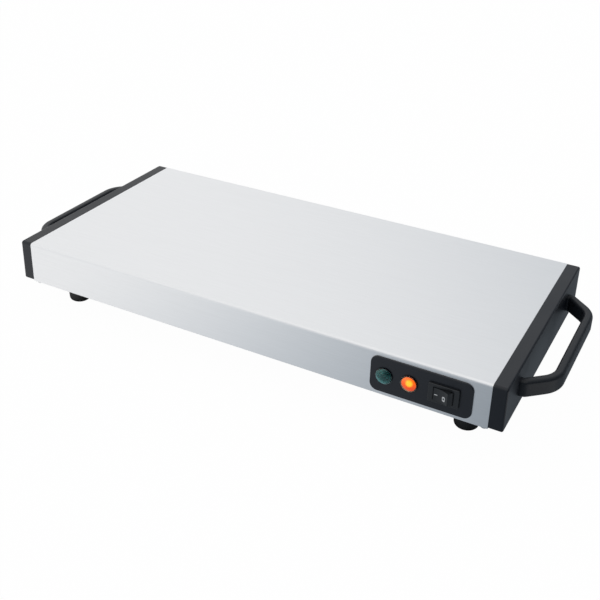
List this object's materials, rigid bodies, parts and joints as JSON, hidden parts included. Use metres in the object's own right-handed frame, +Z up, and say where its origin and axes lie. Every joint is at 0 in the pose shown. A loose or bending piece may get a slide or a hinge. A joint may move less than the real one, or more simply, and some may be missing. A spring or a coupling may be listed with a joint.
{
  "type": "electric food warmer tray",
  "caption": "Low electric warming tray with a flat steel top on round feet, a handle at each end and a front panel with pilot lamps and a rocker switch.",
  "frame": {"origin": "on the floor under the middle of the whole object", "axes": "+X to the right as seen from the front, which faces -Y and carries the controls, and +Z up"},
  "size_m": [0.4756, 0.2122, 0.0614],
  "materials": {
    "brushed_cover_steel": "satin stainless sheet, fine grain along the tray's length",
    "plated_steel": "zinc-plated sheet and fixings",
    "cap_plastic": "black moulding with a fine matt texture",
    "handle_plastic": "black moulding, satin",
    "foot_rubber": "black heat-resistant rubber",
    "panel_plastic": "black moulding with a fine matt texture",
    "green_lens_plastic": "clear dark green lens, unlit",
    "amber_lens_plastic": "clear amber lens, lit",
    "bulb_glass": "clear neon bulb",
    "switch_plastic": "glossy black",
    "contact_brass": "plain brass",
    "inlet_plastic": "black moulding",
    "spreader_aluminium": "mill-finish sheet",
    "element_sheath": "oxidised steel sheath",
    "ceramic": "unglazed white ceramic",
    "mat_fibre": "needled glass-fibre mat",
    "lead_sleeve": "glass-fibre sleeving over copper wire"
  },
  "bodies": {
    "tray": {"steel_cover": "brushed_cover_steel", "base_plate": "plated_steel", "right_end_cap": "cap_plastic", "left_end_cap": "cap_plastic", "right_handle": "handle_plastic", "left_handle": "handle_plastic", "foot_front_left": "foot_rubber", "foot_front_right": "foot_rubber", "foot_rear_left": "foot_rubber", "foot_rear_right": "foot_rubber", "foot_screw_front_left": "plated_steel", "foot_screw_front_right": "plated_steel", "foot_screw_rear_left": "plated_steel", "foot_screw_rear_right": "plated_steel", "cap_screw_front_left": "plated_steel", "cap_screw_front_right": "plated_steel", "cap_screw_rear_left": "plated_steel", "cap_screw_rear_right": "plated_steel", "handle_screw_front_left": "plated_steel", "handle_screw_front_right": "plated_steel", "handle_screw_rear_left": "plated_steel", "handle_screw_rear_right": "plated_steel", "control_panel": "panel_plastic", "green_lens": "green_lens_plastic", "amber_lens": "amber_lens_plastic", "green_bulb": "bulb_glass", "amber_bulb": "bulb_glass", "green_lens_nut": "plated_steel", "amber_lens_nut": "plated_steel", "switch_housing": "switch_plastic", "switch_tab_live": "contact_brass", "switch_tab_load": "contact_brass", "mains_inlet": "inlet_plastic", "inlet_pin_live": "contact_brass", "inlet_pin_neutral": "contact_brass", "inlet_pin_earth": "contact_brass", "inlet_screw_left": "plated_steel", "inlet_screw_right": "plated_steel", "heat_spreader": "spreader_aluminium", "heating_element": "element_sheath", "cold_pin_front": "plated_steel", "cold_pin_rear": "plated_steel", "element_strap_left": "plated_steel", "element_strap_middle": "plated_steel", "element_strap_right": "plated_steel", "thermostat": "ceramic", "thermal_fuse": "ceramic", "fuse_clip": "plated_steel", "insulation_mat": "mat_fibre", "heat_shield": "plated_steel", "terminal_block": "ceramic", "earth_stud": "contact_brass", "live_lead": "lead_sleeve", "switched_lead": "lead_sleeve", "thermostat_lead": "lead_sleeve", "element_lead": "lead_sleeve", "return_lead": "lead_sleeve", "neutral_lead": "lead_sleeve", "earth_lead": "lead_sleeve"},
    "rocker": {"switch_rocker": "switch_plastic"}
  },
  "joints": [
    {"name": "rocker_tilt", "type": "hinge", "parent": "tray", "child": "rocker", "pos_m": [0.1703, -0.09931, 0.0428], "axis": [0, 0, 1], "range_deg": [0, 28]}
  ]
}
